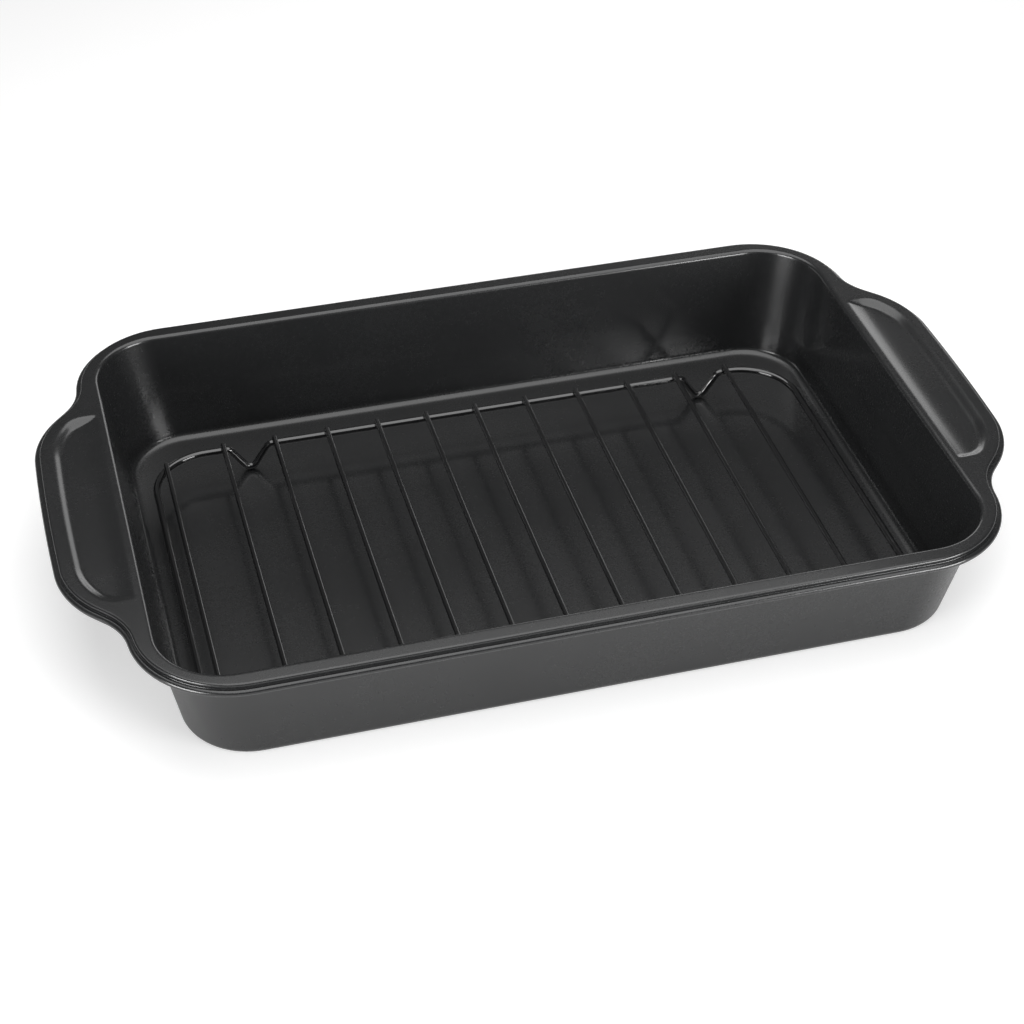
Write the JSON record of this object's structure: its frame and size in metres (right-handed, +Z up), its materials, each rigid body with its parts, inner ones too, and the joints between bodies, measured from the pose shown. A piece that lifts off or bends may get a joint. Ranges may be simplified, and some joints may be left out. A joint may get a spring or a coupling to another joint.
{
  "type": "roasting pan with rack",
  "caption": "Rectangular roasting pan of dark coated sheet steel with flared walls, a rolled rim and wing handles, holding a loose wire rack on bent feet.",
  "frame": {"origin": "on the table, under the middle of the pan's flat base", "axes": "+X along the long side from handle to handle, +Y to the rear, +Z up out of the pan"},
  "size_m": [0.45, 0.2784, 0.058],
  "materials": {
    "non_stick_coating": "satin dark grey non-stick coating on drawn carbon steel",
    "rack_enamel": "gloss black non-stick enamel on steel wire"
  },
  "bodies": {
    "pan": {"pan": "non_stick_coating"},
    "rack": {"rack_ring": "rack_enamel", "cross_wire_01": "rack_enamel", "cross_wire_02": "rack_enamel", "cross_wire_03": "rack_enamel", "cross_wire_04": "rack_enamel", "cross_wire_05": "rack_enamel", "cross_wire_06": "rack_enamel", "cross_wire_07": "rack_enamel", "cross_wire_08": "rack_enamel", "cross_wire_09": "rack_enamel", "cross_wire_10": "rack_enamel", "cross_wire_11": "rack_enamel", "cross_wire_12": "rack_enamel"}
  },
  "joints": [
    {"name": "rack_lift", "type": "slide", "parent": "pan", "child": "rack", "axis": [0, 0, 1], "range_m": [0, 0.08]}
  ]
}
